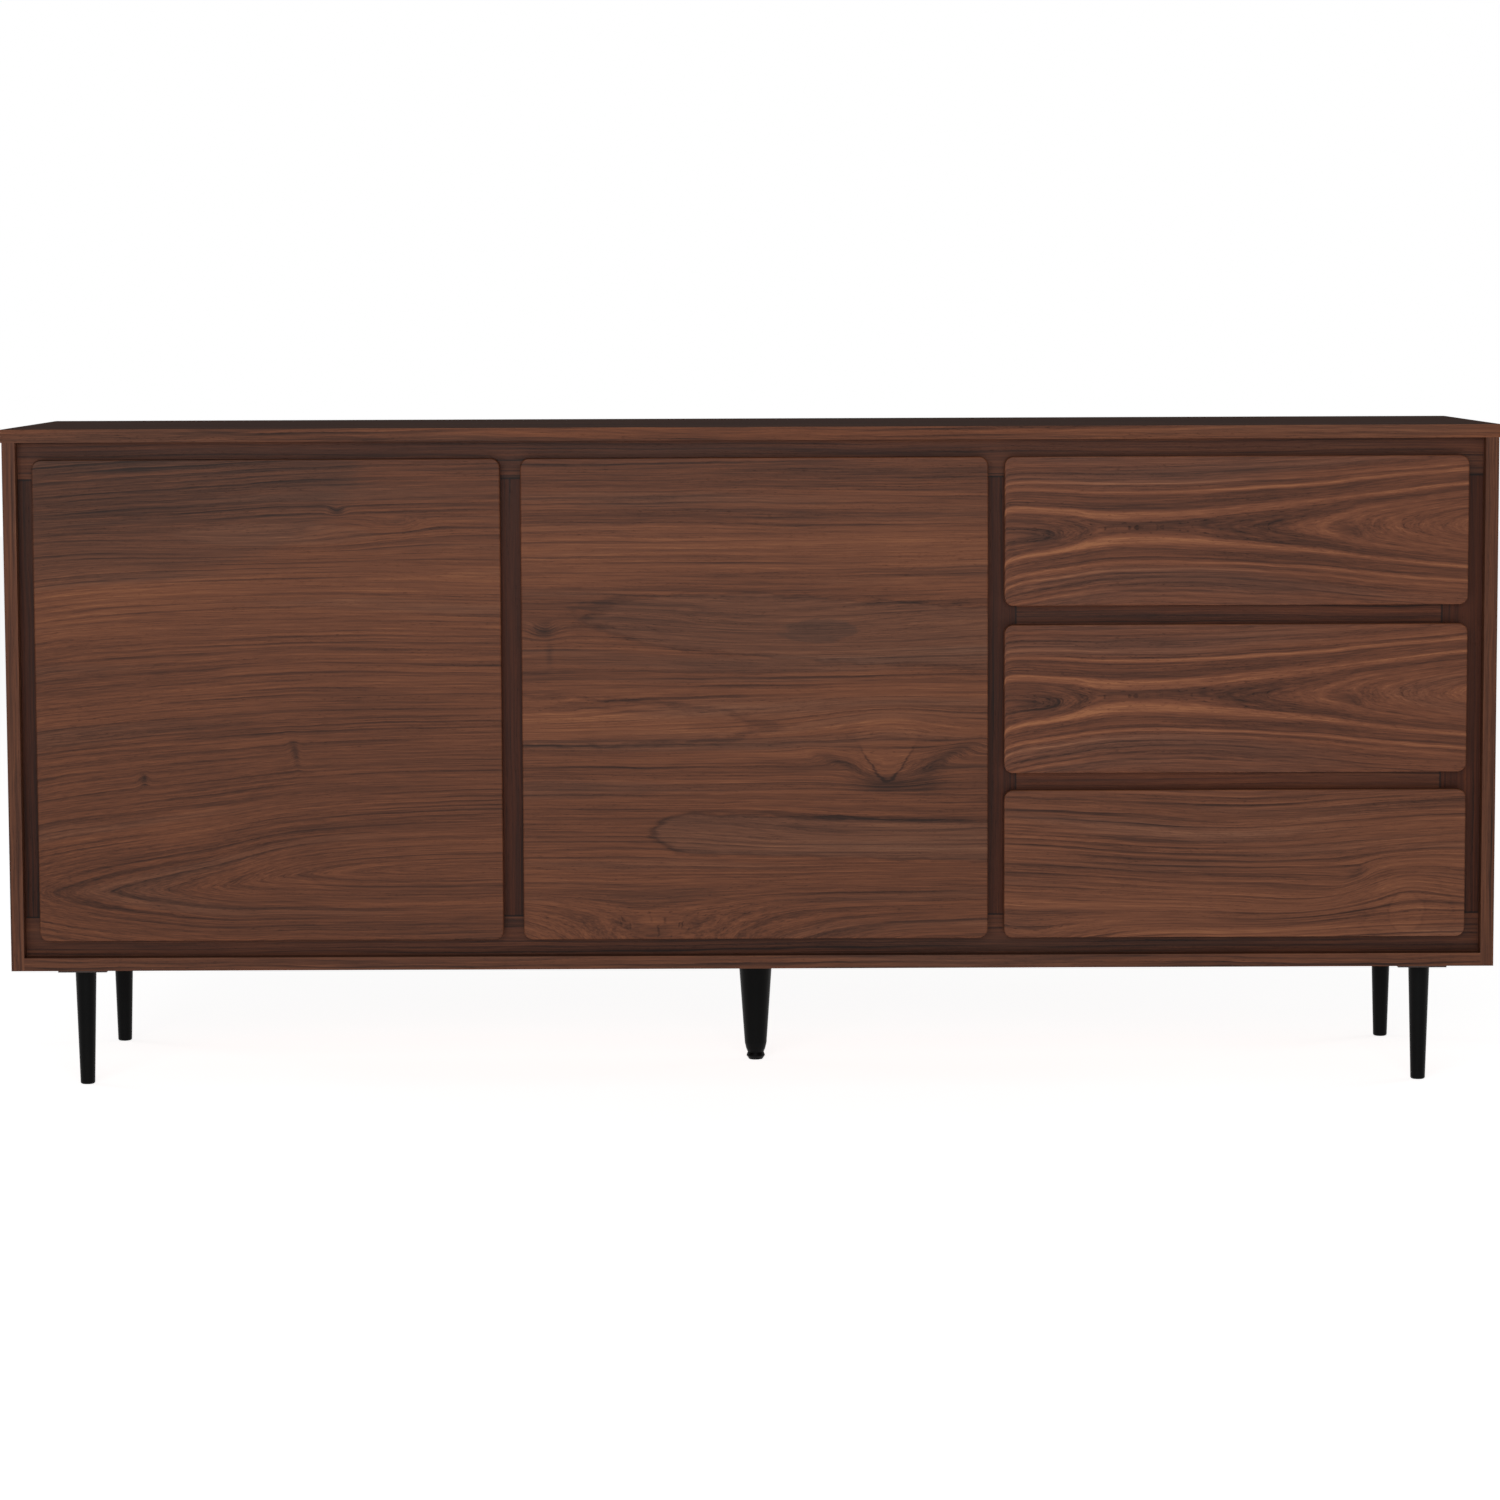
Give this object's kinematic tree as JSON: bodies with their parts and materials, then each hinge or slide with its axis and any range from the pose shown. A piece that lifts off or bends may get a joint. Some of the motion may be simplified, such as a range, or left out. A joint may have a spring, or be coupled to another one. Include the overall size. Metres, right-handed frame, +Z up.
{
  "type": "sideboard buffet",
  "caption": "Low walnut-veneered sideboard buffet on tapered black legs, with hinged doors over shelved bays and a stack of sliding drawers.",
  "frame": {"origin": "on the floor under the middle of the case", "axes": "+X along the length, to the right as seen from the front; +Y from the front to the back; +Z up"},
  "size_m": [1.83, 0.457, 0.816],
  "materials": {
    "walnut_veneer": "satin walnut veneer, grain along the length",
    "frame_veneer": "satin walnut veneer",
    "inner_veneer": "satin walnut veneer",
    "back_board": "matt printed board",
    "raw_wood": "unfinished",
    "drawer_box": "clear lacquer on light wood",
    "black_lacquer": "satin black",
    "zinc_steel": "zinc plated",
    "screw_steel": "zinc plated",
    "bumper": "soft clear bumper",
    "catch_plastic": "dark brown plastic"
  },
  "bodies": {
    "case": {"back_panel": "back_board", "back_panel_screws": "screw_steel", "bottom_panel": "walnut_veneer", "bottom_rail": "frame_veneer", "bumpers": "bumper", "case_dowels": "raw_wood", "centre_leg": "black_lacquer", "door_bay_partition": "inner_veneer", "door_stile": "frame_veneer", "drawer_bay_partition": "inner_veneer", "drawer_stile": "frame_veneer", "front_left_leg": "black_lacquer", "front_right_leg": "black_lacquer", "hinge_screws": "screw_steel", "left_door_hinge_arms": "zinc_steel", "left_shelf": "inner_veneer", "left_side_panel": "walnut_veneer", "left_stile": "frame_veneer", "leg_plate_screws": "screw_steel", "leg_plates": "zinc_steel", "leg_studs": "zinc_steel", "lower_drawer_rail": "frame_veneer", "magnetic_catches": "catch_plastic", "middle_door_hinge_arms": "zinc_steel", "middle_shelf": "inner_veneer", "rear_left_leg": "black_lacquer", "rear_right_leg": "black_lacquer", "right_side_panel": "walnut_veneer", "right_stile": "frame_veneer", "shelf_pins": "zinc_steel", "slide_outer_members": "zinc_steel", "slide_packers": "raw_wood", "top_panel": "walnut_veneer", "top_rail": "frame_veneer", "upper_drawer_rail": "frame_veneer"},
    "left_door": {"left_door": "walnut_veneer", "left_door_hinge_cups": "zinc_steel", "left_door_strike": "zinc_steel"},
    "middle_door": {"middle_door": "walnut_veneer", "middle_door_hinge_cups": "zinc_steel", "middle_door_strike": "zinc_steel"},
    "levelling_foot": {"levelling_foot": "black_lacquer"},
    "upper_drawer": {"upper_drawer_front": "walnut_veneer", "upper_drawer_sides": "drawer_box", "upper_drawer_ends": "drawer_box", "upper_drawer_bottom": "drawer_box", "upper_drawer_slide_inners": "zinc_steel"},
    "upper_drawer_slides": {"upper_drawer_slide_middles": "zinc_steel"},
    "middle_drawer": {"middle_drawer_front": "walnut_veneer", "middle_drawer_sides": "drawer_box", "middle_drawer_ends": "drawer_box", "middle_drawer_bottom": "drawer_box", "middle_drawer_slide_inners": "zinc_steel"},
    "middle_drawer_slides": {"middle_drawer_slide_middles": "zinc_steel"},
    "lower_drawer": {"lower_drawer_front": "walnut_veneer", "lower_drawer_sides": "drawer_box", "lower_drawer_ends": "drawer_box", "lower_drawer_bottom": "drawer_box", "lower_drawer_slide_inners": "zinc_steel"},
    "lower_drawer_slides": {"lower_drawer_slide_middles": "zinc_steel"}
  },
  "joints": [
    {"name": "left_door_hinge", "type": "hinge", "parent": "case", "child": "left_door", "pos_m": [-0.868, -0.2187, 0.483], "axis": [0, 0, -1], "range_deg": [0, 95]},
    {"name": "middle_door_hinge", "type": "hinge", "parent": "case", "child": "middle_door", "pos_m": [0.281, -0.2187, 0.483], "axis": [0, 0, 1], "range_deg": [0, 90]},
    {"name": "upper_drawer_slide", "type": "slide", "parent": "case", "child": "upper_drawer", "axis": [0, -1, 0], "range_m": [0, 0.35]},
    {"name": "upper_drawer_slide_travel", "type": "slide", "parent": "case", "child": "upper_drawer_slides", "axis": [0, -1, 0], "range_m": [0, 0.175]},
    {"name": "middle_drawer_slide", "type": "slide", "parent": "case", "child": "middle_drawer", "axis": [0, -1, 0], "range_m": [0, 0.35]},
    {"name": "middle_drawer_slide_travel", "type": "slide", "parent": "case", "child": "middle_drawer_slides", "axis": [0, -1, 0], "range_m": [0, 0.175]},
    {"name": "lower_drawer_slide", "type": "slide", "parent": "case", "child": "lower_drawer", "axis": [0, -1, 0], "range_m": [0, 0.35]},
    {"name": "lower_drawer_slide_travel", "type": "slide", "parent": "case", "child": "lower_drawer_slides", "axis": [0, -1, 0], "range_m": [0, 0.175]},
    {"name": "levelling_foot_turn", "type": "hinge", "parent": "case", "child": "levelling_foot", "pos_m": [0.004, 0, 0.009], "axis": [0, 0, 1], "continuous": true}
  ],
  "couplings": [
    {"joint": "upper_drawer_slide_travel", "follows": "upper_drawer_slide", "ratio": 0.5},
    {"joint": "middle_drawer_slide_travel", "follows": "middle_drawer_slide", "ratio": 0.5},
    {"joint": "lower_drawer_slide_travel", "follows": "lower_drawer_slide", "ratio": 0.5}
  ]
}
